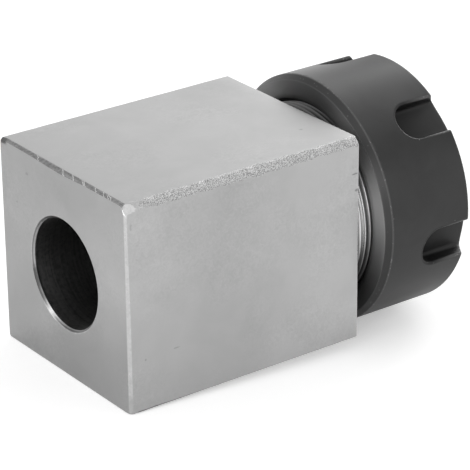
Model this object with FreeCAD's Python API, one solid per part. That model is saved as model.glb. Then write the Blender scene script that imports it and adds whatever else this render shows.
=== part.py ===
# Square collet block: a ground square body with a through bore and a threaded nose, the
# slotted nut that screws on the nose, and the slit spring collet that the nut presses home.
#
# Lengths are in millimetres and angles in degrees. The origin is on the axis, in the plane
# of the rear face. +X runs along the axis towards the nut and +Z is up.
# At rest the nut is turned up by hand and the collet stands a hair off its seat.
import FreeCAD
import Part
import math
import os
from FreeCAD import Vector

# Square body. The long edge at the top of the -Y side is worn wider than the other three.
body_width = 52.0
body_length = 66.5
worn_edge_chamfer = 1.4
long_edge_chamfer = 0.4
rear_edge_chamfer = 0.5
shoulder_edge_radius = 0.4
bore_diameter = 27.0
bore_rim_chamfer = 0.5

# Nose with its thread, drawn as a plain cylinder at the pitch diameter.
thread_diameter = 50.0
thread_pitch = 1.5
thread_clearance = 0.08
nose_length = 18.0
nose_end_chamfer = 0.9
runout_width = 0.8
runout_depth = 0.9

# Taper seat inside the nose.
taper_angle = 8.0
seat_mouth_diameter = 40.0
seat_mouth_chamfer = 0.4
seat_depth = 38.0

# Spring collet.
collet_length = 46.0
collet_shoulder_diameter = 41.0
collet_seat_gap = 1.4
collet_bore_diameter = 20.0
collet_bore_chamfer = 0.6
collet_tail_chamfer = 0.5
groove_width = 3.6
groove_diameter = 36.4
collar_diameter = 39.2
collar_land = 0.5
front_cone_angle = 30.0
front_cone_length = 4.5
slit_count = 8
slit_width = 1.0
slit_rear_bridge = 6.0
slit_front_bridge = 10.0

# Clamping nut.
nut_diameter = 63.0
nut_length = 27.6
nut_rear_edge_height = 1.1
nut_rear_edge_length = 1.6
nut_bevel_height = 4.0
nut_bevel_angle = 30.0
thread_mouth_diameter = 51.6
thread_relief_diameter = 50.8
thread_relief_width = 3.0
collet_recess = 0.8
cone_clearance = 0.15
lip_front_clearance = 0.4
lip_rear_clearance = 0.7
lip_hole_diameter = 39.6
lip_offset = 0.9
nut_opening_diameter = 34.6
nut_opening_chamfer = 0.5

# Spanner slots round the front of the nut.
slot_count = 6
slot_width = 9.5
slot_length = 15.9
slot_depth = 4.0
slot_floor_chamfer = 0.8
first_slot_angle = 41.2

# Sizes that follow from the ones above.
taper_slope = math.tan(math.radians(taper_angle))
cone_slope = math.tan(math.radians(front_cone_angle))
pitch_radius = (thread_diameter - 0.6495 * thread_pitch) / 2
nose_radius = pitch_radius - thread_clearance / 2
nut_thread_radius = pitch_radius + thread_clearance / 2
mouth_radius = seat_mouth_diameter / 2
shoulder_radius = collet_shoulder_diameter / 2
nut_radius = nut_diameter / 2
collar_radius = collar_diameter / 2
collet_front_radius = collar_radius - front_cone_length * cone_slope
cone_gap = cone_clearance / math.cos(math.radians(front_cone_angle))

# Places along the axis, from the rear face of the body.
nose_face = body_length + nose_length
seat_end = nose_face - seat_depth
collet_shoulder = nose_face + (shoulder_radius - mouth_radius) / taper_slope + collet_seat_gap
collar_rear = collet_shoulder + groove_width
cone_start = collar_rear + collar_land
collet_front = cone_start + front_cone_length
collet_rear = collet_front - collet_length
nut_front = collet_front + collet_recess
nut_rear = nut_front - nut_length
lip_rear = collet_shoulder + lip_rear_clearance
lip_front = collar_rear - lip_front_clearance


def revolved(profile):
    """A solid of revolution about the X axis from (x, radius) points taken in order."""
    points = [Vector(x, 0, radius) for x, radius in profile]
    outline = Part.makePolygon(points + points[:1])
    return Part.Face(outline).revolve(Vector(0, 0, 0), Vector(1, 0, 0), 360)


def turned(shape, angle):
    """A copy of the shape turned about the X axis."""
    copy = shape.copy()
    copy.rotate(Vector(0, 0, 0), Vector(1, 0, 0), angle)
    return copy


def edges_at(shape, x):
    """The edges that lie in the plane across the axis at x."""
    return [edge for edge in shape.Edges if all(abs(v.X - x) < 1e-6 for v in edge.Vertexes)]


def edges_along(shape):
    """The straight edges that run along the axis."""
    box = shape.BoundBox
    return [edge for edge in shape.Edges if abs(edge.BoundBox.XLength - box.XLength) < 1e-6]


def is_worn(edge):
    """Whether a long edge is the worn one, at the top of the -Y side."""
    centre = edge.BoundBox.Center
    return centre.y < 0 < centre.z


def square_body():
    """The square with its eased edges, the nose, the through bore and the taper seat."""
    half = body_width / 2
    block = Part.makeBox(body_length, body_width, body_width, Vector(0, -half, -half))
    block = block.makeChamfer(long_edge_chamfer, [e for e in edges_along(block) if not is_worn(e)])
    block = block.makeChamfer(worn_edge_chamfer, [e for e in edges_along(block) if is_worn(e)])
    block = block.makeChamfer(rear_edge_chamfer, edges_at(block, 0))
    block = block.makeFillet(shoulder_edge_radius, edges_at(block, body_length))
    runout_radius = nose_radius - runout_depth
    runout_end = body_length + runout_width
    nose = revolved([
        (body_length - runout_width, 0),
        (body_length - runout_width, runout_radius),
        (runout_end, runout_radius),
        (runout_end + runout_depth, nose_radius),
        (nose_face - nose_end_chamfer, nose_radius),
        (nose_face, nose_radius - nose_end_chamfer),
        (nose_face, 0),
    ])
    bore_radius = bore_diameter / 2
    seat_end_radius = mouth_radius - seat_depth * taper_slope
    mouth_edge = nose_face - seat_mouth_chamfer
    over = 1.0
    hollow = revolved([
        (-over, 0),
        (-over, bore_radius + bore_rim_chamfer + over),
        (bore_rim_chamfer, bore_radius),
        (seat_end, bore_radius),
        (seat_end, seat_end_radius),
        (mouth_edge, mouth_radius - seat_mouth_chamfer * taper_slope),
        (nose_face + over, mouth_radius + seat_mouth_chamfer + over),
        (nose_face + over, 0),
    ])
    return block.fuse(nose).cut(hollow).removeSplitter()


def slot_cutter():
    """The path of the end mill for one slot, cut down from +Z, with its eased floor."""
    half = slot_width / 2
    floor = nut_radius - slot_depth
    apex = nut_front - slot_length
    centre = apex + half
    end = nut_front + slot_width
    near = Vector(centre, -half, floor)
    far = Vector(centre, half, floor)
    blind_end = Part.Arc(near, Vector(apex, 0, floor), far).toShape()
    side_far = Part.makeLine(far, Vector(end, half, floor))
    open_end = Part.makeLine(Vector(end, half, floor), Vector(end, -half, floor))
    side_near = Part.makeLine(Vector(end, -half, floor), near)
    outline = Part.Wire([blind_end, side_far, open_end, side_near])
    cutter = Part.Face(outline).extrude(Vector(0, 0, 2 * slot_depth))
    floor_edges = [
        edge for edge in cutter.Edges
        if edge.BoundBox.ZMax < floor + 1e-6 and edge.BoundBox.XMin < end - 1e-3
    ]
    return cutter.makeChamfer(slot_floor_chamfer, floor_edges)


def clamping_nut():
    """The nut: thread, relief, crescent lip that draws the collet, inner cone and slots."""
    bevel_length = nut_bevel_height * math.tan(math.radians(nut_bevel_angle))
    mouth_depth = thread_mouth_diameter / 2 - nut_thread_radius
    relief_radius = thread_relief_diameter / 2
    relief_start = lip_rear - thread_relief_width
    lip_edge_radius = lip_hole_diameter / 2 - lip_offset
    opening_radius = nut_opening_diameter / 2
    cone_at_lip = collar_radius + cone_gap + (cone_start - lip_front) * cone_slope
    cone_end = cone_start + (collar_radius + cone_gap - opening_radius) / cone_slope
    ring = revolved([
        (nut_rear, thread_mouth_diameter / 2),
        (nut_rear, nut_radius - nut_rear_edge_height),
        (nut_rear + nut_rear_edge_length, nut_radius),
        (nut_front - bevel_length, nut_radius),
        (nut_front, nut_radius - nut_bevel_height),
        (nut_front, opening_radius + nut_opening_chamfer),
        (nut_front - nut_opening_chamfer, opening_radius),
        (cone_end, opening_radius),
        (lip_front, cone_at_lip),
        (lip_front, lip_edge_radius),
        (lip_rear, lip_edge_radius),
        (lip_rear, relief_radius),
        (relief_start, relief_radius),
        (relief_start, nut_thread_radius),
        (nut_rear + mouth_depth, nut_thread_radius),
    ])
    lip_hole = Part.makeCylinder(
        lip_hole_diameter / 2, lip_front - lip_rear, Vector(lip_rear, 0, lip_offset), Vector(1, 0, 0))
    ring = ring.cut(lip_hole)
    cutter = slot_cutter()
    for number in range(slot_count):
        ring = ring.cut(turned(cutter, first_slot_angle + number * 360 / slot_count))
    return ring


def spring_collet():
    """The collet: long taper, drawing groove, front cone, bore, and slits from both ends."""
    tail_radius = shoulder_radius - (collet_shoulder - collet_rear) * taper_slope
    tail_edge = collet_rear + collet_tail_chamfer
    bore_radius = collet_bore_diameter / 2
    collet = revolved([
        (collet_rear, bore_radius + collet_bore_chamfer),
        (collet_rear, tail_radius - collet_tail_chamfer),
        (tail_edge, tail_radius + collet_tail_chamfer * taper_slope),
        (collet_shoulder, shoulder_radius),
        (collet_shoulder, groove_diameter / 2),
        (collar_rear, groove_diameter / 2),
        (collar_rear, collar_radius),
        (cone_start, collar_radius),
        (collet_front, collet_front_radius),
        (collet_front, bore_radius + collet_bore_chamfer),
        (collet_front - collet_bore_chamfer, bore_radius),
        (collet_rear + collet_bore_chamfer, bore_radius),
    ])
    reach = collet_shoulder_diameter
    over = 1.0
    front_slit = Part.makeBox(
        collet_length - slit_rear_bridge + over, slit_width, reach,
        Vector(collet_rear + slit_rear_bridge, -slit_width / 2, 0))
    rear_slit = Part.makeBox(
        collet_length - slit_front_bridge + over, slit_width, reach,
        Vector(collet_rear - over, -slit_width / 2, 0))
    step = 360 / slit_count
    for number in range(slit_count):
        collet = collet.cut(turned(front_slit, number * step))
        collet = collet.cut(turned(rear_slit, (number + 0.5) * step))
    return collet


os.makedirs("parts", exist_ok=True)
pieces = {
    "square_body": square_body(),
    "clamping_nut": clamping_nut(),
    "spring_collet": spring_collet(),
}
for name, shape in pieces.items():
    shape.exportStep("parts/" + name + ".step")
    print(name, "volume", round(shape.Volume, 1), "solids", len(shape.Solids), "valid", shape.isValid())
print("nut stands", round(nut_rear - body_length, 2), "off the body; overall", round(nut_front, 2))
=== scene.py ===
"""Looks of the square collet block: ground steel body, black oxide nut and spring steel collet.

Sizes are in millimetres and angles in degrees until a mesh is made, which is in metres. +X runs
along the axis towards the nut and +Z is up. A surface is a grid of points worked out with numpy.
"""

import math

import bmesh
import bpy
import numpy as np
from mathutils import Matrix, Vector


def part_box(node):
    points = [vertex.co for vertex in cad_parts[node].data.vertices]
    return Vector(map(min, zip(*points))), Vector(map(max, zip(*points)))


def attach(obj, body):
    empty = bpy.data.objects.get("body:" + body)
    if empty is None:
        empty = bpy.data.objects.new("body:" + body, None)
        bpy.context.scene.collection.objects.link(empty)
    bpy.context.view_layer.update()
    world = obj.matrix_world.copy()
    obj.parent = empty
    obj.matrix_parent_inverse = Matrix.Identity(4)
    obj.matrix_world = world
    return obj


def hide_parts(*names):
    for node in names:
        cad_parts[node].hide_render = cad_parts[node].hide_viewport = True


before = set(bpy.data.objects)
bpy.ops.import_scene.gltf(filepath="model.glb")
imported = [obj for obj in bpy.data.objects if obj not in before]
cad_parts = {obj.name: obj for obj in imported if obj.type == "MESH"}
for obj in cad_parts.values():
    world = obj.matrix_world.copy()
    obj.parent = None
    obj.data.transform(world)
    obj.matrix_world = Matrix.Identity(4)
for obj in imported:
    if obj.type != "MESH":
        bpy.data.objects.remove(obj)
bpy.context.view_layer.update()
metre = 1000.0
body_high = np.array(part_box("square_body")[1]) * metre
nut_low, nut_high = (np.array(corner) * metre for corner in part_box("clamping_nut"))

# Square body.
half_width = body_high[2]
shoulder = 66.5
nose_face = body_high[0]
worn_chamfer = 1.4
long_chamfer = 0.4
fine_chamfer = 0.2
rear_chamfer = 0.5
shoulder_ease = 0.15
bore_radius = 13.5
bore_rim = 0.6
seat_end = 46.5
seat_mouth_radius = 20.0
seat_slope = math.tan(math.radians(8.0))
seat_mouth_chamfer = 0.4

# On the rear face and the shoulder the grid passes from a circle of this radius to a square this
# far inside the block's sides. It starts and ends at a seam in the bore.
rear_circle = 16.5
rear_inset = 1.8
shoulder_circle = 24.2
shoulder_inset = 1.1
bore_seam = 6.0

# Thread of the nose and the nut. The groove behind it lets the tool run out, and the nose's end is
# chamfered down to the groove's radius.
pitch = 1.5
thread_crest = 25.0
thread_root = 24.08
thread_play = 0.08
nut_thread_crest = 24.188
nut_thread_root = 25.06
groove_radius = 23.573
groove_end = shoulder + 0.8
nose_rows_per_turn = 16
nut_rows_per_turn = 12

# Clamping nut.
nut_radius = nut_high[1]
nut_rear = nut_low[0]
nut_front = nut_high[0]
rear_edge_height = 1.1
rear_edge_length = 1.6
rear_edge_ease = 0.15
bevel_height = 4.0
bevel_slope = 1 / math.tan(math.radians(30.0))
mouth_radius = 25.8
relief_radius = 25.4
relief_width = 3.0
relief_chamfer = 0.2
lip_rear = nut_front - 8.7
lip_front = nut_front - 6.2
lip_hole_radius = 19.8
lip_offset = 0.9
cone_at_lip = 20.293
cone_end = nut_front - 1.017
opening_radius = 17.3
opening_chamfer = 0.5

# Spanner slots.
slot_count = 6
slot_half_width = 4.75
slot_apex = nut_front - 15.9
slot_floor = nut_radius - 4.0
slot_floor_fillet = 1.0
slot_rim_ease = 0.5
first_slot_angle = 41.2
slot_rows = 24
rear_columns = 2 * slot_rows - 1

# Where the edges are eased, the curve starts this far from the sharp corner.
fine_ease = 0.12
edge_ease = 0.25
worn_ease = 0.5

# Nicks across the rear top edge, as places along Y where X is nick_x. They slant: Y grows with X.
# Noise tears their sides by up to half of nick_wander each way.
nick_places = (10.2, -0.3, -4.5, -8.5, -9.1, -13.6, -17.0, -18.7, -19.6)
nick_slant = 1.8
nick_x = 0.6
nick_wander = 1.4
nick_half_width = 0.17

# Corners knocked flat: the side that each lies on, the way its facet faces, how deep it is cut, and
# how bright it is.
knocked_corners = (
    ((-1, 1), (-0.21, -1, 0.65), 1.45, 0.9),
    ((-1, -1), (-1, -1, -1), 0.6, 0.75),
    ((1, 1), (-1, 1, 1), 0.52, 0),
)

# Small dents in the ground faces: a place, a half size along each axis, and how dark they are.
small_dents = (
    ((58.9, -13.6, 26), (0.6, 0.45, 1), 0.38),
    ((0, 14.5, 20.5), (1, 0.8, 0.45), 0.27),
    ((0, 19.5, 11.7), (1, 0.4, 0.3), 0.3),
    ((1.5, -26, 20.7), (0.3, 1, 1.2), 0.27),
    ((4.6, -26, -13.1), (0.3, 1, 0.35), 0.35),
    ((13.3, -26, -12.6), (1.1, 1, 0.22), 0.35),
    ((65.4, -26, 17.1), (1.1, 1, 0.25), 0.6),
    ((65.9, -26, 12.8), (0.7, 1, 0.4), 0.6),
)


def unit(vector):
    return vector / np.linalg.norm(vector)


def ramp(value, start, length):
    """0 before the start, 1 past the length, straight between. With a negative length it is 1 far
    before the start and falls to 0 there."""
    return np.clip((value - start) / length, 0, 1)


def bell(value, centre, width):
    """A bell curve, 1 at the centre and exp(-1) a width beside it."""
    return np.exp(-((value - centre) / width) ** 2)


def facing(angle, centre, width):
    """A bell curve of the angle about the X axis, with its centre and width in degrees."""
    return bell((np.degrees(angle) - centre + 180) % 360, 180, width)


def ripple(x, seed, amount):
    """A smooth wander: the sum of five sines of x with seeded phases."""
    rng = np.random.default_rng(seed)
    waves = rng.uniform(0.12, 1.6, 5)[:, None]
    phases = rng.uniform(0, 2 * np.pi, 5)[:, None]
    return amount * np.sin(waves * x + phases).mean(axis=0)


def eased_profile(corners, eases, longest):
    """Points and edge marks along a polyline with rounded corners.

    Each inner corner C becomes the curve C + (1-t)^2 e a + t^2 e b, where a and b are the unit
    directions back and on, and e is how far the rounding reaches. The edge mark is 1 on the curve
    and fades to 0 beside it. Long runs are divided so that no step is longer than given.
    """
    corners = np.asarray(corners, float)
    t = np.linspace(0, 1, 5)[:, None]
    fade = np.array([0.2, 0.6, 1.2])
    fade_mark = np.array([0.6, 0.25, 0.0])
    points, marks = [corners[:1]], [np.zeros(1)]
    for before, corner, after, ease in zip(corners, corners[1:], corners[2:], eases):
        back, on = unit(before - corner), unit(after - corner)
        room_back = np.linalg.norm(before - corner) / 2 - ease
        room_on = np.linalg.norm(after - corner) / 2 - ease
        lead, tail = fade < room_back, fade < room_on
        points += [
            (corner + back * (ease + fade[lead][:, None]))[::-1],
            corner + (1 - t) ** 2 * ease * back + t ** 2 * ease * on,
            corner + on * (ease + fade[tail][:, None]),
        ]
        marks += [fade_mark[lead][::-1], np.ones(5), fade_mark[tail]]
    points, marks = np.vstack(points + [corners[-1:]]), np.concatenate(marks + [np.zeros(1)])
    steps = np.ceil(np.linalg.norm(np.diff(points, axis=0), axis=1) / longest).astype(int)
    index = np.arange(len(steps)).repeat(steps)
    first = np.cumsum(steps) - steps
    place = np.append(index + (np.arange(steps.sum()) - first[index]) / steps[index], len(steps))
    whole = np.arange(len(points))
    columns = [np.interp(place, whole, points[:, axis]) for axis in (0, 1)]
    return np.column_stack(columns), np.interp(place, whole, marks)


def thread_height(x, angle, crest, root, play):
    """Radius of a right-hand 60 degree thread: crest - sqrt(3) (a - pitch/16), held between root
    and crest, where a is the distance along the axis from the nearest crest line."""
    turn = x / pitch - angle / (2 * np.pi)
    from_crest = np.abs(turn - np.round(turn)) * pitch
    return np.clip(thread_crest + play - math.sqrt(3) * (from_crest - pitch / 16), root, crest)


def around(x, radius, angle):
    """Points at a radius and an angle about the X axis, counted from +Y towards +Z."""
    x, radius, angle = np.broadcast_arrays(x, radius, angle)
    return np.stack([x, radius * np.cos(angle), radius * np.sin(angle)], axis=-1)


def quads_of(number):
    """The quads between the neighbours in a grid of vertex numbers."""
    corners = (number[:-1, :-1], number[:-1, 1:], number[1:, 1:], number[1:, :-1])
    return np.stack(corners, -1).reshape(-1, 4)


def mesh_piece(name, sheets, material, body, node):
    """One object from sheets of (points, marks by name, closed): each is a grid whose neighbours
    make quads, and a closed one joins its last column to its first. Touching sheets are merged."""
    vertices, quads, start = [], [], 0
    for points, marks, closed in sheets:
        rows, columns = points.shape[:2]
        number = start + np.arange(rows * columns).reshape(rows, columns)
        if closed:
            number = np.hstack([number, number[:, :1]])
        quads.append(quads_of(number))
        vertices.append(points.reshape(-1, 3))
        start += rows * columns
    mesh = bpy.data.meshes.new(name)
    mesh.from_pydata((np.vstack(vertices) / metre).tolist(), [], np.vstack(quads).tolist())
    for mark in sheets[0][1]:
        values = [np.broadcast_to(marks[mark], points.shape[:2]).reshape(-1) for points, marks, _ in sheets]
        attribute = mesh.attributes.new(mark, "FLOAT", "POINT")
        attribute.data.foreach_set("value", np.concatenate(values).astype(np.float32))
    work = bmesh.new()
    work.from_mesh(mesh)
    bmesh.ops.remove_doubles(work, verts=work.verts, dist=2e-6)
    bmesh.ops.dissolve_degenerate(work, edges=work.edges, dist=1e-7)
    bmesh.ops.recalc_face_normals(work, faces=work.faces)
    work.to_mesh(mesh)
    work.free()
    mesh.shade_smooth()
    mesh.materials.append(material)
    piece = bpy.data.objects.new(name, mesh)
    bpy.context.scene.collection.objects.link(piece)
    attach(piece, body)
    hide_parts(node)
    return piece


# The square body's surface.

def square_columns(x, half):
    """Sections of the square, one row for each x, with its long edges chamfered.

    In a corner's own directions a and b the section is a (half - p) + b (half - q). Along the first
    side p = 0 and q falls to the chamfer width c, on the chamfer p + q = c, and on the second side
    q = 0 and p grows. Where a side meets the chamfer the corner is a small curve. The marks have
    one row for each long edge, which is 1 on its chamfer.
    """
    x, half = np.asarray(x)[:, None], np.asarray(half)[:, None]
    plain_fade, worn_fade = [0, 0.25, 0.6, 1], [0, 0, 0.2, 0.8]
    t = np.linspace(0, 1, 5)[None, 1:]
    corners = [
        ((1, 0), (0, 1), fine_chamfer, 0.06, plain_fade, 3),
        ((0, 1), (-1, 0), worn_chamfer, worn_ease, worn_fade, 5),
        ((-1, 0), (0, -1), fine_chamfer, 0.06, plain_fade, 7),
        ((0, -1), (1, 0), long_chamfer, fine_ease, plain_fade, 9),
    ]
    y, z, mark = [], [], np.zeros((len(corners), 0))
    for number, (first, second, chamfer, ease, fade, seed) in enumerate(corners):
        side_mark = np.concatenate([np.zeros(15), fade])
        near = (ease + np.array([2.5, 1.4, 0.7, 0.25, 0])) / half_width
        share = np.concatenate([np.linspace(1, near[0], 15)[:-1], near])[None, :]
        diagonal = ease / math.sqrt(2)
        width = chamfer * (1 + ripple(x[:, 0], seed, 0.28))[:, None]
        if chamfer == worn_chamfer:
            width = width * (0.82 + 0.2 * ramp(x, 0, 20))
        side = width + share * (half - width)
        curve_p = t ** 2 * diagonal + 0 * width
        curve_q = width + (1 - t) ** 2 * ease - t ** 2 * diagonal
        p = np.hstack([0 * side, curve_p, width / 2, curve_q[:, ::-1], side[:, :0:-1]])
        q = np.hstack([side, curve_q, width / 2, curve_p[:, ::-1], 0 * side[:, :0:-1]])
        y.append(first[0] * (half - p) + second[0] * (half - q))
        z.append(first[1] * (half - p) + second[1] * (half - q))
        band = np.zeros((len(corners), p.shape[1]))
        band[number] = np.concatenate([side_mark, np.ones(9), side_mark[:0:-1]])
        mark = np.hstack([mark, band])
    return np.hstack(y), np.hstack(z), mark


def square_body_surface():
    """One closed sheet: out over the rear face, along the sides, in over the shoulder, along the
    threaded nose and back through the taper seat and the bore. A row is q of a square section and
    1 - q of a circle, so the flat faces pass from one to the other."""
    rim, rim_mark = eased_profile(
        [(bore_seam, bore_radius), (bore_rim, bore_radius), (0, bore_radius + bore_rim), (0, rear_circle)],
        [fine_ease] * 2, 2)
    sides, sides_mark = eased_profile(
        [(0, half_width - rear_inset), (0, half_width - rear_chamfer), (rear_chamfer, half_width),
         (shoulder, half_width), (shoulder, half_width - shoulder_inset)],
        [fine_ease, fine_ease, shoulder_ease], 0.8)
    groove, groove_mark = eased_profile(
        [(shoulder, shoulder_circle), (shoulder, groove_radius), (groove_end, groove_radius)],
        [shoulder_ease], 0.4)
    thread_x = np.arange(groove_end, nose_face, pitch / nose_rows_per_turn)[1:]
    inside, inside_mark = eased_profile(
        [(nose_face, groove_radius), (nose_face, seat_mouth_radius + seat_mouth_chamfer),
         (nose_face - seat_mouth_chamfer, seat_mouth_radius - seat_mouth_chamfer * seat_slope),
         (seat_end, seat_mouth_radius - (nose_face - seat_end) * seat_slope),
         (seat_end, bore_radius), (bore_seam, bore_radius)], [fine_ease] * 4, 4)

    face_share = np.linspace(0, 1, 7)[1:-1]
    shoulder_share = np.linspace(1, 0, 5)[1:-1]
    inner = inside[:-1]
    # How many rows each part of the sheet has, in order.
    counts = [len(part) for part in (rim, face_share, sides, shoulder_share, groove, thread_x, inner)]
    x = np.concatenate([rim[:, 0], 0 * face_share, sides[:, 0], shoulder + 0 * shoulder_share,
                        groove[:, 0], thread_x, inner[:, 0]])
    radius = np.concatenate([rim[:, 1], np.full(counts[1] + counts[2], rear_circle),
                             shoulder_circle + 0 * shoulder_share, groove[:, 1], 0 * thread_x, inner[:, 1]])
    half = np.concatenate([np.full(counts[0] + counts[1], half_width - rear_inset), sides[:, 1],
                           np.full(sum(counts[3:]), half_width - shoulder_inset)])
    share = np.concatenate([np.zeros(counts[0]), face_share, np.ones(counts[2]), shoulder_share,
                            np.zeros(sum(counts[4:]))])[:, None]
    row_mark = np.concatenate([rim_mark, 0 * face_share, sides_mark, 0 * shoulder_share, groove_mark * 0.3,
                               0 * thread_x, inside_mark[:-1]])[:, None]

    # Marks that stay on one side of the block are worked out on a plain section halfway along it.
    y, z, (_, worn_mark, near_bottom_mark, far_bottom_mark) = square_columns(x, half)
    plain_y, plain_z, _ = square_columns(np.array([30.0]), np.array([half_width]))
    angle = np.arctan2(plain_z, plain_y)
    on_top = ramp(plain_z - np.abs(plain_y), -1.5, 3)
    on_near_side = ramp(-plain_y - np.abs(plain_z), -1.5, 3)
    on_others = ramp(np.maximum(plain_y, -plain_z) - np.maximum(-plain_y, plain_z), -1.5, 3)
    radius = radius[:, None] + 0 * angle
    threaded = slice(sum(counts[:5]), sum(counts[:6]))
    nose_x = thread_x[:, None]
    envelope = groove_radius + np.minimum(nose_x - groove_end, nose_face - nose_x)
    radius[threaded] = np.minimum(envelope, thread_height(nose_x, angle, thread_crest, thread_root, 0))
    round_part = around(x[:, None], radius, angle)

    # The rear chamfer runs on over the top face, drops lowest in the middle of the top edge, and
    # is broad low on the near upright edge. The other two are fine. The shift dies out beside it.
    column_x = x[:, None]
    inset = half_width - half[:, None]
    shift_end = 6.0
    upright_width = 0.38 - 0.34 * ramp(plain_z, -2, 22)
    run = 0.75 * on_top + upright_width * on_near_side - 0.33 * on_others
    drop = (0.5 * bell(plain_y, 1, 8.5) - 0.1) * on_top + 0.1 * on_near_side - 0.33 * on_others
    run = run * np.minimum(column_x / rear_chamfer, ramp(column_x, shift_end, rear_chamfer - shift_end))
    drop = drop * np.minimum(inset / rear_chamfer, ramp(inset, rear_inset, rear_chamfer - rear_inset))
    slimmer = 1 - drop * (share == 1) / (half_width - inset)
    square_part = np.stack([column_x + run, y * slimmer, z * slimmer], axis=-1)
    points = share[..., None] * square_part + (1 - share[..., None]) * round_part
    on_side = (share == 1) & (column_x > 0)
    on_rear_chamfer = (column_x <= rear_chamfer) & (inset <= rear_chamfer) & (share == 1)
    mark = np.maximum(row_mark, (far_bottom_mark + 0.2 * near_bottom_mark) * on_side)
    mark = np.where(share == 1, mark * np.where(column_x < 4, 0.5 * on_near_side, 0.9), mark)
    fainter = 1 - 0.5 * ramp(plain_z, -20, -6)
    mark = np.where(on_rear_chamfer, on_top + 0.84 * on_near_side * fainter, mark)
    speckle = worn_mark * on_side * ramp(column_x, -8.1, 18)

    # Dark scale on the rear top edge, and a dark line on the first third of the bottom edge of the -Y
    # side. Painted shade, as dark as the scale, in the bore and in patches on its rim. A painted highlight
    # makes the rim bright only low on its far side.
    in_bore = np.concatenate([ramp(rim[:, :1], 0.55, 0.6), np.zeros((sum(counts[1:6]), 1)),
                              ramp(inner[:, :1], seat_end + 4, -4)])
    on_rim = np.zeros_like(in_bore)
    on_rim[:len(rim)] = rim[:, 1:] < bore_radius + 1
    off_face = on_rim * (column_x > 0.02)
    rim_highlight, rim_dark = facing(angle, -62, 10), facing(angle, -26, 14)
    rim_patches = (0.35 + 0.6 * rim_dark + 0.3 * facing(angle, 80, 30) - 0.6 * rim_highlight
                   - 0.2 * facing(angle, 5, 18))
    mark = np.where(on_rim > 0, mark * (0.72 + 0.28 * rim_highlight), mark)
    # Painted highlight: the edge mark rises to 1.6 low on the rim's far side.
    mark = np.maximum(mark, off_face * (column_x < 0.75) * 1.6 * facing(angle, -60, 8))
    scale = np.maximum(np.maximum(on_rear_chamfer * on_top, in_bore), off_face * rim_patches)
    first_third = ramp(column_x, 1.5, 1) * ramp(column_x, 28.8, -24)
    scale = np.maximum(scale, (near_bottom_mark == 1) * on_side * first_third)

    # The thread gets painted shade, near black, except in a painted lit sector that faces the near
    # side, where its crests get a painted highlight, less so by the nut, and a little lighter on top.
    # The bore gets painted shade deeper in, and so does its rim, in patches and along a fine line.
    painted_shine = facing(angle, 163, 33) * np.maximum(0.42, ramp(column_x, 70.6, -1.4))
    painted_shine = painted_shine + 0.1 * facing(angle, 75, 35)
    crest, shade_and_stain = np.zeros_like(points[..., 0]), np.zeros_like(points[..., 0])
    crest[threaded] = ramp(radius[threaded], thread_root, thread_crest - thread_root)
    shade_and_stain[threaded] = np.clip(1 - painted_shine[threaded] * (0.52 + 1.8 * crest[threaded]), 0, 1)
    in_groove = (share == 0) * (column_x >= shoulder) * (radius > 23) * (crest == 0)
    shade_and_stain = np.maximum(shade_and_stain, in_groove * (1 - painted_shine))
    shade_and_stain = np.maximum(shade_and_stain, 0.55 * ramp(column_x, 0, 12) * (in_bore > 0.9))
    rim_shade = (0.25 + 1.1 * rim_dark + 0.7 * facing(angle, 75, 30) + 0.6 * facing(angle, -97, 18)
               + 0.5 * facing(angle, -46, 8))
    rim_shade = np.clip(0.7 * rim_shade + 0.5 * bell(column_x, 0.22, 0.09), 0, 0.95) * (1 - rim_highlight)
    shade_and_stain = np.maximum(shade_and_stain, off_face * (column_x < 1) * rim_shade)
    # Painted highlight: on the crests and in the groove within the painted lit sector the edge mark rises up
    # to 2.
    mark = np.maximum(mark, np.clip(5 * crest + in_groove, 0, 2) * painted_shine)

    # Painted shade: the steel is darkened halfway along the sides and low down by their rear end, all
    # over the top but less so halfway along, and on the rear face, most of all low down, far over and along
    # its top.
    halfway = bell(column_x, 29, 17)
    shade_top = 0.3 + 0.2 * ramp(column_x, shoulder, -shoulder) ** 2 - (0.09 + 0.005 * plain_y) * halfway
    shade_top = shade_top * ramp(column_x, shoulder, -5)
    low_strip = 0.28 * ramp(column_x, 20, -20) - 0.2 * bell(column_x, 43, 10)
    shade_side = np.clip(0.34 * halfway + low_strip * ramp(plain_z, -15, -6), 0, 1)
    shade_side = shade_side + (shade_top - shade_side) * on_top
    place_y, place_z = points[..., 1], points[..., 2]
    low = np.maximum(-place_z, 0) * (1 - 0.6 * ramp(place_y, 0, 20))
    shade_rear = 0.52 + 0.009 * np.minimum(place_y, 16) + 0.016 * low
    shade_rear = shade_rear + 0.22 * ramp(place_z, 15, 6) * ramp(place_y, 8, -8)
    shade_rear = shade_rear - 0.15 * ramp(place_y, -15, -5) * ramp(np.abs(place_z), 14, -6)
    painted_shade = np.where(column_x > 0.01, shade_side, np.clip(shade_rear, 0, 1))

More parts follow.
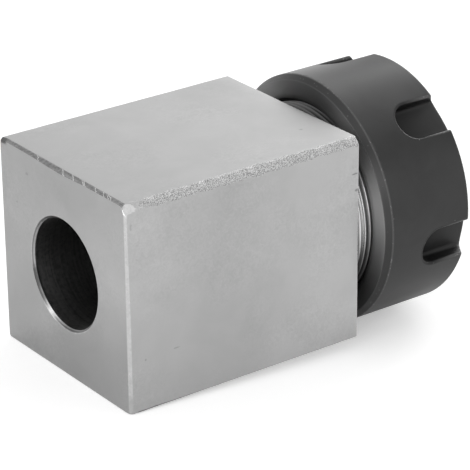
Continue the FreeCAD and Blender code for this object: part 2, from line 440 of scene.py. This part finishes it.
    # Knocked corners: what stands past each plane is pressed back onto it. Oily scale also covers a
    # small spot by the far top one.
    beside_spot = (points - [0, half_width - 1.1, half_width - 0.25]) * [1, 0.55, 1.2]
    spot = ramp(np.linalg.norm(beside_spot, axis=-1), 1.1, -0.4) * (share == 1)
    scale = np.maximum(scale, spot)
    shade_and_stain = np.maximum(shade_and_stain, 0.72 * spot)
    for (side_y, side_z), direction, depth, bright in knocked_corners:
        normal = unit(np.array(direction, float))
        corner = np.array([0, side_y * half_width, side_z * half_width])
        excess = np.maximum((points - corner) @ normal + depth, 0) * (share > 0)
        points -= excess[..., None] * normal
        knocked = ramp(excess, 0, 0.05)
        mark = np.maximum(mark * (1 - knocked), 0.95 * bright * knocked)
        speckle = speckle * (1 - knocked)
        scale = np.maximum(scale * (1 - knocked), (bright == 0) * knocked)
    marks = {"edge": mark, "speckle": speckle, "scale": scale, "shade_and_stain": shade_and_stain, "painted_shade": painted_shade}
    closed_marks = {name: np.concatenate([values, values[:1]]) for name, values in marks.items()}
    return np.concatenate([points, points[:1]]), closed_marks, True


# The clamping nut's surfaces.

def near_edge(distance):
    """An edge mark of 1 at an edge, gone 0.75 mm away."""
    return ramp(np.abs(distance), 0.75, -0.6)


def nut_outside_radius(x):
    """The cylinder, then the front bevel, which falls sqrt(3) for each millimetre along the axis. A
    parabola tangent to both joins them."""
    past = x - (nut_front - bevel_height / bevel_slope)
    eased = bevel_slope * (past + edge_ease) ** 2 / (4 * edge_ease)
    return nut_radius - np.where(past > edge_ease, bevel_slope * past, np.where(past < -edge_ease, 0, eased))


def slot_sheet(angle):
    """One sixth of the nut's outside, as a grid laid round one slot.

    Columns follow the slot's outline: in from the front along one side, round the blind end and out
    along the other. Rows come in from the edge of the sixth over the outer surface, round the rim,
    down the wall and across the fillet to the middle of the floor.
    """
    centre = slot_apex + slot_half_width
    bevel_start = nut_front - bevel_height / bevel_slope
    front = nut_front - edge_ease
    rear = nut_rear + rear_edge_length + 0.35
    ahead = np.concatenate([[front, front - 0.5, front - 1.2],
                            bevel_start + np.array([0.5, 0.25, 0.12, 0, -0.12, -0.25, -0.5, -1.2]),
                            np.linspace(bevel_start - 2.2, centre, 6)])
    back = np.linspace(centre, rear, 9)[1:-1]
    border_x = np.concatenate([ahead, back, np.full(rear_columns, rear), back[::-1], ahead[::-1]])
    turn = math.pi / slot_count
    edge_angle = np.full(len(ahead) + len(back), turn)
    border_angle = np.concatenate([-edge_angle, np.linspace(-turn, turn, rear_columns), edge_angle])
    column = np.arange(len(border_x))
    straight = (column < len(ahead)) | (column >= len(border_x) - len(ahead))
    swing = np.arctan2(nut_radius * border_angle, centre - border_x)
    side = np.sign(border_angle)
    outline_x = np.where(straight, border_x, centre - slot_half_width * np.cos(swing))
    outline_s = np.where(straight, side * slot_half_width, slot_half_width * np.sin(swing))
    out_x = np.where(straight, 0, -np.cos(swing))
    out_s = np.where(straight, side, np.sin(swing))

    wall = np.sqrt(nut_outside_radius(outline_x) ** 2 - outline_s ** 2) - slot_floor
    rim = np.minimum(slot_rim_ease, 0.5 * wall)
    fillet = np.minimum(slot_floor_fillet, 0.45 * wall)

    def beside(offset):
        """x, s and the height of the outer surface at an offset out from the outline."""
        x, s = outline_x + out_x * offset, outline_s + out_s * offset
        return x, s, np.sqrt(nut_outside_radius(x) ** 2 - s ** 2)

    rows, marks = [], []

    def add_row(offset, height, mark):
        """A row at an offset out from the outline and at a height of its own."""
        rows.append((outline_x + out_x * offset, outline_s + out_s * offset, height + 0 * outline_x))
        marks.append(mark)

    wide_x, wide_s, _ = beside(rim + 0.9)
    wide_angle = np.arcsin(wide_s / nut_outside_radius(wide_x))
    for share in (0, 0.06, 0.13, 0.25, 0.4, 0.55, 0.7, 0.85):
        x = border_x + share * (wide_x - border_x)
        swung = border_angle + share * (wide_angle - border_angle)
        radius = nut_outside_radius(x)
        rows.append((x, radius * np.sin(swung), radius * np.cos(swung)))
        marks.append(0)
    for reach, mark in ((0.9, 0.1), (0.35, 0.6)):
        rows.append(beside(rim + reach))
        marks.append(mark)
    first_rim_row = len(rows)
    _, _, rim_height = beside(rim)
    for bend in np.radians([0, 30, 60, 90]):
        add_row(rim * (1 - math.sin(bend)), rim_height - rim * (1 - math.cos(bend)), 1)
    first_wall_row = len(rows)
    wall_top, wall_foot = rim_height - rim, slot_floor + fillet
    for share, mark in ((0.2, 0.4), (0.7, 0)):
        add_row(0, wall_top + share * (wall_foot - wall_top), mark)
    for bend in np.radians([0, 22.5, 45, 67.5, 90]):
        add_row(-fillet * (1 - math.cos(bend)), slot_floor + fillet * (1 - math.sin(bend)), 0)
    for share in (0.4, 0.75, 1):
        add_row(-fillet - share * (slot_half_width - fillet), slot_floor, 0)

    assert len(rows) == slot_rows
    x, s, height = (np.array(part) for part in zip(*rows))
    past_blind_end = slot_apex + 3
    mark = np.array(marks, float)[:, None] * (0.6 + 0.4 * ramp(x, past_blind_end, 8))
    row = np.arange(len(rows))[:, None]
    outer = row < first_wall_row
    mark = np.maximum(mark, near_edge(x - nut_front))
    mark = np.maximum(mark, near_edge(x - bevel_start) * outer)
    mark = np.maximum(mark, near_edge(x - nut_rear - rear_edge_length) * outer)
    sine, cosine = math.sin(angle), math.cos(angle)
    points = np.stack([x, -height * sine - s * cosine, height * cosine - s * sine], axis=-1)

    # A painted highlight makes the outer surface paler where it faces up, most of all to the rear.
    # Painted shade darkens the slots, their rims by the blind end, and the outer surface in front and towards
    # the near side.
    about, ahead_of_rear = np.arctan2(points[..., 2], points[..., 1]), x - nut_rear
    painted_sheen = 0.3 * facing(about, 72, 14) * ramp(ahead_of_rear, 24, -16)
    painted_sheen = (painted_sheen + 0.05 * facing(about, 88, 20) * ramp(ahead_of_rear, 8, -8)) * outer
    painted_darkening = (1 - 0.55 * ramp(x, past_blind_end, 12)) * ~outer
    painted_darkening = painted_darkening + 0.3 * facing(about, 75, 25) * ramp(ahead_of_rear, 12, 8) * outer
    painted_darkening = painted_darkening + 0.38 * facing(about, 139, 12) * outer
    on_rim = (row >= first_rim_row) * outer
    painted_darkening = np.maximum(painted_darkening, on_rim * 0.75 * np.maximum(0.1, ramp(x, past_blind_end + 8, -8)))
    return points, {"edge": mark, "painted_sheen": painted_sheen, "painted_darkening": painted_darkening}, False


def loop_round(parts):
    """Joins open runs that end where the next begins into one closed loop."""
    return np.concatenate([part[:-1] for part in parts])


def nut_inside_surface(slot_sheets):
    """A closed sheet from the front edge of the slot sheets, over the front face, through the
    opening, cone, lip, relief and thread, and over the rear face to their rear edge."""
    front_loop = loop_round([
        np.concatenate([points[:, 0], points[-2::-1, -1]]) for points, _, _ in slot_sheets])
    ahead = (slot_sheets[0][0].shape[1] - rear_columns) // 2
    rear_loop = loop_round([points[0, ahead:ahead + rear_columns] for points, _, _ in slot_sheets])
    front_angle = np.unwrap(np.arctan2(front_loop[:, 2], front_loop[:, 1]))
    rear_angle = np.unwrap(np.arctan2(rear_loop[:, 2], rear_loop[:, 1]))

    face_radius = nut_radius - bevel_height
    profile, mark = eased_profile([
        (nut_front, face_radius - edge_ease), (nut_front, opening_radius + opening_chamfer),
        (nut_front - opening_chamfer, opening_radius), (cone_end, opening_radius), (lip_front, cone_at_lip)],
        [fine_ease, fine_ease, fine_ease], 2.5)
    t = np.linspace(0, 1, 5)[:-1, None, None]
    corner = around(nut_front, face_radius, front_angle)
    inner = around(nut_front, face_radius - edge_ease, front_angle)
    front_edge = (1 - t) ** 2 * front_loop + 2 * t * (1 - t) * corner + t ** 2 * inner

    blend = ramp(profile[:, 1:], face_radius, -6)
    front_part = around(profile[:, :1], profile[:, 1:], front_angle + blend * (rear_angle - front_angle))

    up = np.sin(rear_angle)
    lip_radius = lip_offset * up + np.sqrt(lip_hole_radius ** 2 - lip_offset ** 2 * (1 - up ** 2))
    lip_x = np.array([lip_front, lip_front - fine_ease, lip_rear + fine_ease, lip_rear, lip_rear])[:, None]
    lip_size = lip_radius + np.array([fine_ease, 0, 0, fine_ease, 1.0])[:, None]
    lip_part = around(lip_x, lip_size, rear_angle)

    relief_start = lip_rear - relief_width
    relief = np.array([
        (lip_rear, relief_radius - relief_chamfer), (lip_rear - relief_chamfer, relief_radius),
        (relief_start + relief_chamfer, relief_radius), (relief_start, relief_radius - relief_chamfer)])
    relief_part = around(relief[:, :1], relief[:, 1:], rear_angle)

    thread_x = np.arange(relief_start, nut_rear, -pitch / nut_rows_per_turn)[:, None]
    mouth = mouth_radius - (thread_x - nut_rear)
    thread_part = around(thread_x, np.maximum(mouth, thread_height(
        thread_x, rear_angle, nut_thread_root, nut_thread_crest, thread_play)), rear_angle)

    rear, rear_mark = eased_profile([
        (nut_rear, mouth_radius), (nut_rear, nut_radius - rear_edge_height),
        (nut_rear + rear_edge_length, nut_radius), (rear_loop[0, 0], nut_radius)],
        [fine_ease, rear_edge_ease], 1.5)
    rear, rear_mark = rear[:-1], rear_mark[:-1]
    rear_part = around(rear[:, :1], rear[:, 1:], rear_angle)
    rear_mark = rear_mark * np.where(rear[:, 0] < nut_rear + rear_edge_length / 2, 0.85, 1)

    parts = [front_edge, front_part, lip_part, relief_part, thread_part, rear_part, rear_loop[None]]
    marks = [np.ones(len(front_edge)), mark, np.full(5, 0.5), np.zeros(4), np.zeros(len(thread_x)), rear_mark,
             near_edge(rear_loop[:1, 0] - nut_rear - rear_edge_length)]

    def on_rear_rows(values):
        """A column with these values on the rows of the rear part, and 0 on all others."""
        return np.concatenate([np.zeros(sum(map(len, parts[:5]))), values, np.zeros(1)])[:, None]

    # The rear face gets a painted sheen towards the near side, and in two fainter fans higher up.
    # Painted shade darkens its bevel at the top and towards the near side, and the face's rim at the top.
    on_face = on_rear_rows(rear[:, 0] <= nut_rear + 0.01)
    on_bevel = on_rear_rows(rear[:, 0] > nut_rear + 0.01)
    by_rim = on_face * ramp(on_rear_rows(rear[:, 1]), 26.8, 1.5)
    painted_sheen = on_face * (0.05 + 0.85 * facing(rear_angle, 165, 29) + 0.45 * facing(rear_angle, 52, 19)
                        + 0.42 * facing(rear_angle, 123, 13))
    painted_darkening = on_bevel * (0.42 * facing(rear_angle, 88, 20) + 0.45 * facing(rear_angle, 141, 9))
    painted_darkening = painted_darkening + 0.2 * by_rim * facing(rear_angle, 98, 16)
    marks = {"edge": np.concatenate(marks)[:, None], "painted_sheen": painted_sheen, "painted_darkening": painted_darkening}
    return np.concatenate(parts), marks, True


# Finishes.

def add_node(tree, kind, inputs, **settings):
    """A node with its settings, its inputs linked to sockets or given values."""
    node = tree.nodes.new(kind)
    for name, value in settings.items():
        setattr(node, name, value)
    for name, value in inputs.items():
        if isinstance(value, bpy.types.NodeSocket):
            tree.links.new(value, node.inputs[name])
        else:
            node.inputs[name].default_value = value
    return node


def math_of(tree, operation, *values):
    return add_node(tree, "ShaderNodeMath", dict(enumerate(values)), operation=operation).outputs[0]


def sum_of(tree, value, factor, offset):
    """value * factor + offset."""
    return math_of(tree, "MULTIPLY_ADD", value, factor, offset)


def product_of(tree, first, second):
    return math_of(tree, "MULTIPLY", first, second)


def vector_of(tree, operation, *values):
    return add_node(tree, "ShaderNodeVectorMath", dict(enumerate(values)), operation=operation).outputs


def ramp_of(tree, value, low, high, top=1.0, kind="LINEAR"):
    """Passes from 0 to the top as the value goes from low to high."""
    ends = {"Value": value, "From Min": low, "From Max": high, "To Max": top}
    return add_node(tree, "ShaderNodeMapRange", ends, interpolation_type=kind).outputs["Result"]


def noise_of(tree, position, scale, **inputs):
    """A noise texture's value. Inputs that aren't given stay as Blender has them."""
    given = {"Vector": position, "Scale": scale, **inputs}
    return add_node(tree, "ShaderNodeTexNoise", given).outputs["Fac"]


def grey(value):
    return (value, value, value, 1)


def blend_of(tree, share, low, high, kind="MIX"):
    """Passes from the low to the high colour as the share grows, or is multiplied by the high one."""
    inputs = {"Factor": share, 6: low, 7: high}
    return add_node(tree, "ShaderNodeMix", inputs, data_type="RGBA", blend_type=kind).outputs[2]


def new_group(name, inputs, outputs):
    """An empty shader node group whose inputs are a position and named numbers or vectors. It comes
    with the sockets of its input and output nodes."""
    group = bpy.data.node_groups.new(name, "ShaderNodeTree")
    group.interface.new_socket("Position", in_out="INPUT", socket_type="NodeSocketVector")
    for socket, value in inputs.items():
        kind = "NodeSocketVector" if isinstance(value, tuple) else "NodeSocketFloat"
        group.interface.new_socket(socket, in_out="INPUT", socket_type=kind).default_value = value
    for socket in outputs:
        group.interface.new_socket(socket, in_out="OUTPUT", socket_type="NodeSocketFloat")
    return group, group.nodes.new("NodeGroupInput").outputs, group.nodes.new("NodeGroupOutput").inputs


def edge_wear_group():
    """Wear: the edge mark, made ragged by noise, passed through a soft step."""
    inputs = {"Edge": 0.0, "Scale": 1500.0, "Raggedness": 0.8, "Start": 0.5}
    group, given, result = new_group("edge_wear", inputs, ["Wear"])
    noise = noise_of(group, given["Position"], given["Scale"], Detail=3.0, Roughness=0.6)
    centred = sum_of(group, noise, 1.0, -0.5)
    ragged = sum_of(group, centred, given["Raggedness"], given["Edge"])
    full = sum_of(group, given["Start"], 1.0, 0.35)
    group.links.new(ramp_of(group, ragged, given["Start"], full, kind="SMOOTHSTEP"), result["Wear"])
    return group


def metal_grain_group():
    """Cloud: broad soft patches. Grain: fine speckle. Lay: faint streaks along one direction.
    Height: what the fine ones raise."""
    inputs = {"Cloud scale": 60.0, "Grain scale": 3000.0, "Lay stretch": (30.0, 900.0, 900.0)}
    group, given, result = new_group("metal_grain", inputs, ["Cloud", "Grain", "Lay", "Height"])
    position = given["Position"]
    cloud = noise_of(group, position, given["Cloud scale"], Detail=4.0, Roughness=0.55, Distortion=0.4)
    grain = noise_of(group, position, given["Grain scale"], Detail=2.0, Roughness=0.6)
    stretched = vector_of(group, "MULTIPLY", position, given["Lay stretch"])[0]
    lay = noise_of(group, stretched, 1.0, Detail=3.0, Roughness=0.6)
    height = sum_of(group, grain, 0.5, lay)
    for name, source in (("Cloud", cloud), ("Grain", grain), ("Lay", lay), ("Height", height)):
        group.links.new(source, result[name])
    return group


def pits_group():
    """Pits: small round marks in a few cells of a scattered pattern, picked by the cell's colour."""
    group, given, result = new_group("pits", {"Scale": 150.0, "Size": 0.07, "Rarity": 0.9}, ["Pits"])
    cells = add_node(group, "ShaderNodeTexVoronoi", {"Vector": given["Position"], "Scale": given["Scale"]})
    red = add_node(group, "ShaderNodeSeparateColor", {"Color": cells.outputs["Color"]}).outputs["Red"]
    picked = math_of(group, "GREATER_THAN", red, given["Rarity"])
    inside = ramp_of(group, cells.outputs["Distance"], given["Size"], 0.0, kind="SMOOTHSTEP")
    group.links.new(product_of(group, picked, inside), result["Pits"])
    return group


def dent_group():
    """Dent: 1 inside an ellipsoid with a ragged rim, given its centre and, as the stretch, 1 over
    its reach along each axis."""
    inputs = {"Centre": (0.0, 0.0, 0.0), "Stretch": (1000.0, 1000.0, 1000.0)}
    group, given, result = new_group("dent", inputs, ["Dent"])
    beside = vector_of(group, "SUBTRACT", given["Position"], given["Centre"])[0]
    beside = vector_of(group, "MULTIPLY", beside, given["Stretch"])[0]
    reach = vector_of(group, "LENGTH", beside)["Value"]
    ragged = sum_of(group, noise_of(group, given["Position"], 2500.0, Detail=2.0), 1.2, reach)
    group.links.new(ramp_of(group, ragged, 1.7, 1.1, kind="SMOOTHSTEP"), result["Dent"])
    return group


groups = {"wear": edge_wear_group(), "grain": metal_grain_group(), "pits": pits_group(), "dent": dent_group()}


def new_finish(name):
    """A material with its node tree and its shader."""
    material = bpy.data.materials.new(name)
    material.use_nodes = True
    return material, material.node_tree, material.node_tree.nodes["Principled BSDF"]


def position_of(tree):
    """The object's own coordinates."""
    return add_node(tree, "ShaderNodeTexCoord", {}).outputs["Object"]


def mark_of(tree, name):
    """A mark that the mesh carries, such as its edges."""
    return add_node(tree, "ShaderNodeAttribute", {}, attribute_name=name).outputs["Fac"]


def place_group(tree, which, inputs):
    return add_node(tree, "ShaderNodeGroup", inputs, node_tree=groups[which]).outputs


def grain_of(tree, position, cloud_scale, grain_scale, lay_stretch):
    return place_group(tree, "grain", {"Position": position, "Cloud scale": cloud_scale,
                                       "Grain scale": grain_scale, "Lay stretch": lay_stretch})


def wear_of(tree, position, mark, scale, raggedness, start):
    """Wear where one of the mesh's marks is high."""
    return place_group(tree, "wear", {"Position": position, "Edge": mark_of(tree, mark), "Scale": scale,
                                      "Raggedness": raggedness, "Start": start})["Wear"]


def pits_of(tree, position, scale, size, rarity):
    inputs = {"Position": position, "Scale": scale, "Size": size, "Rarity": rarity}
    return place_group(tree, "pits", inputs)["Pits"]


def add_bump(tree, shader, height, strength, depth):
    inputs = {"Height": height, "Strength": strength, "Distance": depth / metre}
    tree.links.new(add_node(tree, "ShaderNodeBump", inputs).outputs["Normal"], shader.inputs["Normal"])


def nicked(tree, scale, position, torn):
    """Dark scale, less three quarters of it at the nicks across the rear top edge. Noise tears
    their sides."""
    axes = add_node(tree, "ShaderNodeSeparateXYZ", {0: position}).outputs
    along = sum_of(tree, axes["X"], -nick_slant, axes["Y"])
    along = sum_of(tree, torn, nick_wander / metre, along)
    solid = math_of(tree, "GREATER_THAN", mark_of(tree, "scale"), 0.9)
    solid = product_of(tree, solid, mark_of(tree, "edge"))
    for place in nick_places:
        middle = (place + nick_wander / 2 - nick_slant * nick_x) / metre
        nick = math_of(tree, "COMPARE", along, middle, nick_half_width / metre)
        scale = product_of(tree, scale, sum_of(tree, product_of(tree, nick, solid), -0.75, 1.0))
    return scale


def ground_steel():
    """Satin ground steel: soft mottling, a few pits and dents, bright eased edges, one long chamfer
    broken up into light and dark grains, dark scale on the nicked rear top edge, painted shade in the bore,
    on the thread and across the faces, and painted highlights on the thread crests and the bore rim."""
    material, tree, shader = new_finish("ground_steel")
    position = position_of(tree)
    shader.inputs["Metallic"].default_value = 1.0
    grain = grain_of(tree, position, 75.0, 2600.0, (90.0, 90.0, 420.0))
    wear = wear_of(tree, position, "edge", 900.0, 0.5, 0.6)
    broken = wear_of(tree, position, "speckle", 1400.0, 1.1, 0.5)
    pits = pits_of(tree, position, 95.0, 0.055, 0.86)
    crumbs = ramp_of(tree, noise_of(tree, position, 4200.0, Detail=1.0), 0.4, 0.6)
    leather = noise_of(tree, position, 900.0, Detail=1.5, Distortion=1.6)
    patches = ramp_of(tree, noise_of(tree, position, 45.0, Detail=2.0), 0.42, 0.6, top=1.3)
    tone = product_of(tree, sum_of(tree, leather, 1.0, -0.5), patches)
    tone = math_of(tree, "ADD", tone, grain["Cloud"])
    torn = noise_of(tree, position, 1200.0)
    # The scale mark is dark scale on the rear top edge and painted shade in the bore and on its rim.
    scale = nicked(tree, wear_of(tree, position, "scale", 420.0, 0.9, 0.3), position, torn)
    rings = vector_of(tree, "MULTIPLY", position, (1700.0, 45.0, 45.0))[0]
    rings = math_of(tree, "ADD", noise_of(tree, rings, 1.0, Detail=2.0), torn)
    rings = ramp_of(tree, rings, 0.75, 1.25)
    # Painted highlight: edge marks above 1.1 paint the colour near white.
    painted_glint = ramp_of(tree, mark_of(tree, "edge"), 1.1, 1.8)

    plain = blend_of(tree, tone, grey(0.45), grey(0.555))
    # Painted shade: the colour is multiplied down where the mesh's shade mark is high.
    plain = blend_of(tree, mark_of(tree, "painted_shade"), plain, grey(0.7), "MULTIPLY")
    pitted = blend_of(tree, pits, plain, grey(0.15))
    for centre, half_size, darkness in small_dents:
        dent = place_group(tree, "dent", {"Position": position, "Centre": tuple(c / metre for c in centre),
                                          "Stretch": tuple(metre / size for size in half_size)})["Dent"]
        pitted = blend_of(tree, product_of(tree, dent, darkness), pitted, grey(0.13))
    grains = blend_of(tree, crumbs, grey(0.27), grey(0.64))
    chipped = blend_of(tree, broken, pitted, grains)
    worn = blend_of(tree, wear, chipped, grey(0.66))
    worn = blend_of(tree, painted_glint, worn, grey(0.92))
    scaled = blend_of(tree, scale, worn, blend_of(tree, rings, grey(0.16), grey(0.3)))
    # Painted shade: near black on the shaded thread, groove, bore and bore rim; also a dark stain on a spot
    # by the far top corner.
    tree.links.new(blend_of(tree, mark_of(tree, "shade_and_stain"), scaled, grey(0.045)), shader.inputs["Base Color"])
    rough = sum_of(tree, grain["Cloud"], -0.12, 0.47)
    rough = sum_of(tree, broken, 0.15, rough)
    tree.links.new(sum_of(tree, wear, -0.14, rough), shader.inputs["Roughness"])
    add_bump(tree, shader, sum_of(tree, pits, -6.0, grain["Height"]), 0.25, 0.02)
    return material


def black_oxide():
    """Satin black oxide over fine turning marks, rubbed bright on the sharp edges, with a painted sheen on
    the rear face and the upper outer surface, and painted shade in the slots, on parts of the outer surface
    and on the rear bevel."""
    material, tree, shader = new_finish("black_oxide")
    position = position_of(tree)
    grain = grain_of(tree, position, 110.0, 2200.0, (2500.0, 120.0, 120.0))
    wear = wear_of(tree, position, "edge", 1700.0, 1.1, 1.04)
    line = ramp_of(tree, mark_of(tree, "edge"), 0.7, 1.0, top=0.28)
    beside_edge = ramp_of(tree, mark_of(tree, "edge"), 0.05, 0.3)
    specks = product_of(tree, pits_of(tree, position, 900.0, 0.2, 0.6), beside_edge)
    plain = blend_of(tree, grain["Cloud"], grey(0.036), grey(0.06))
    # Painted highlight: a paler colour where the sheen mark is high.
    painted_sheen = blend_of(tree, mark_of(tree, "painted_sheen"), plain, grey(0.5))
    # Painted shade: a near-black colour where the darkening mark is high.
    darkened = blend_of(tree, mark_of(tree, "painted_darkening"), painted_sheen, grey(0.012))
    lined = blend_of(tree, line, darkened, grey(0.19))
    lined = blend_of(tree, specks, lined, grey(0.16))
    tree.links.new(blend_of(tree, wear, lined, grey(0.36)), shader.inputs["Base Color"])
    shader.inputs["Metallic"].default_value = 0.75
    tree.links.new(sum_of(tree, grain["Cloud"], 0.16, 0.34), shader.inputs["Roughness"])
    add_bump(tree, shader, grain["Height"], 0.2, 0.02)
    return material


def spring_steel():
    """Hardened and ground spring steel, finer and brighter than the body."""
    material, tree, shader = new_finish("spring_steel")
    position = position_of(tree)
    shader.inputs["Metallic"].default_value = 1.0
    grain = grain_of(tree, position, 90.0, 3000.0, (1800.0, 150.0, 150.0))
    tree.links.new(blend_of(tree, grain["Cloud"], grey(0.46), grey(0.56)), shader.inputs["Base Color"])
    tree.links.new(sum_of(tree, grain["Lay"], 0.2, 0.22), shader.inputs["Roughness"])
    add_bump(tree, shader, grain["Height"], 0.15, 0.015)
    return material


# Studio.

def place_object(name, data, axes, place):
    """An object whose own X, Y and Z run along three axes, at a place in metres."""
    holder = bpy.data.objects.new(name, data)
    rows = [[*row, spot] for row, spot in zip(np.column_stack(axes), place)]
    holder.matrix_world = Matrix(rows + [[0, 0, 0, 1]])
    bpy.context.scene.collection.objects.link(holder)
    return holder


def photograph_camera():
    """The camera that the block's corners in the photograph give, as a direction and a distance
    from a middle on the axis."""
    azimuth, elevation, roll = -0.6336842, 0.4227799, -0.0101238
    middle, distance, slide_right, slide_up = np.array([41.6, 0, 0]), 622.09, 6.175, -1.262
    focal_pixels, frame_pixels, sensor = 2587.67, 470, 36.0
    back = np.array([math.sin(azimuth) * math.cos(elevation), -math.cos(azimuth) * math.cos(elevation),
                     math.sin(elevation)])
    level = np.array([math.cos(azimuth), math.sin(azimuth), 0])
    upright = np.cross(back, level)
    right = level * math.cos(roll) + upright * math.sin(roll)
    up = upright * math.cos(roll) - level * math.sin(roll)
    place = middle + back * distance + right * slide_right + up * slide_up
    camera = bpy.data.cameras.new("camera")
    camera.sensor_width = sensor
    camera.lens = focal_pixels / frame_pixels * sensor
    camera.clip_start, camera.clip_end = 0.01, 20
    bpy.context.scene.camera = place_object("camera", camera, [right, up, back], place / metre)


def soft_lamp(name, direction, distance, size, power):
    """A square area lamp that looks at the middle of the block from a direction."""
    lamp = bpy.data.lights.new(name, "AREA")
    lamp.size, lamp.energy = size, power
    back = unit(np.array(direction, float))
    side = unit(np.cross((0, 0, 1), back))
    middle = np.array([0.05, 0, 0])
    place_object(name, lamp, [side, np.cross(back, side), back], middle + back * distance)


def floor_plane():
    """A pale floor that touches the rear bottom edge and the rim of the nut, as the block lies."""
    fall = (nut_radius - half_width) / (nut_front - bevel_height / bevel_slope)
    reach = 3000.0
    y, x = np.meshgrid(np.linspace(-reach, reach, 3), np.linspace(-reach, reach, 3), indexing="ij")
    points = np.stack([x, y, -half_width - fall * x], axis=-1) / metre
    mesh = bpy.data.meshes.new("floor")
    mesh.from_pydata(points.reshape(-1, 3).tolist(), [], quads_of(np.arange(9).reshape(3, 3)).tolist())
    material, tree, shader = new_finish("pale_floor")
    shader.inputs["Base Color"].default_value = grey(0.8)
    shader.inputs["Roughness"].default_value = 0.9
    shader.inputs["Specular IOR Level"].default_value = 0.0
    shader.inputs["Emission Color"].default_value = grey(1)
    path = tree.nodes.new("ShaderNodeLightPath").outputs
    seen = sum_of(tree, path["Is Camera Ray"], 0.38, product_of(tree, path["Is Glossy Ray"], 0.13))
    tree.links.new(seen, shader.inputs["Emission Strength"])
    mesh.materials.append(material)
    floor = bpy.data.objects.new("floor", mesh)
    bpy.context.scene.collection.objects.link(floor)


def pale_world():
    """A white surround for the camera and for reflections, and a softer one for plain light."""
    world = bpy.data.worlds.new("studio")
    world.use_nodes = True
    tree = world.node_tree
    path = tree.nodes.new("ShaderNodeLightPath").outputs
    seen = math_of(tree, "MAXIMUM", path["Is Camera Ray"], path["Is Glossy Ray"])
    seen = math_of(tree, "MAXIMUM", seen, path["Is Transmission Ray"])
    background = tree.nodes["Background"].inputs
    plain_light = 0.8
    tree.links.new(sum_of(tree, seen, 1 - plain_light, plain_light), background["Strength"])
    background["Color"].default_value = grey(1)
    bpy.context.scene.world = world


# Assembly.

mesh_piece("ground_square_body", [square_body_surface()], ground_steel(),
           "block", "square_body")
slot_turns = [math.radians(first_slot_angle + 360 / slot_count * number) for number in range(slot_count)]
slot_sheets = [slot_sheet(turn) for turn in slot_turns]
mesh_piece("slotted_clamping_nut", slot_sheets + [nut_inside_surface(slot_sheets)], black_oxide(),
           "nut", "clamping_nut")
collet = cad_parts["spring_collet"]
collet.data.materials.clear()
collet.data.materials.append(spring_steel())

photograph_camera()
floor_plane()
pale_world()
soft_lamp("right_softbox", (0.85, 0.4, 0.35), 1.1, 0.6, 5.3)
soft_lamp("left_softbox", (-0.8, -0.5, 0.35), 1.1, 0.6, 4.6)
bpy.context.scene.view_settings.view_transform = "Standard"
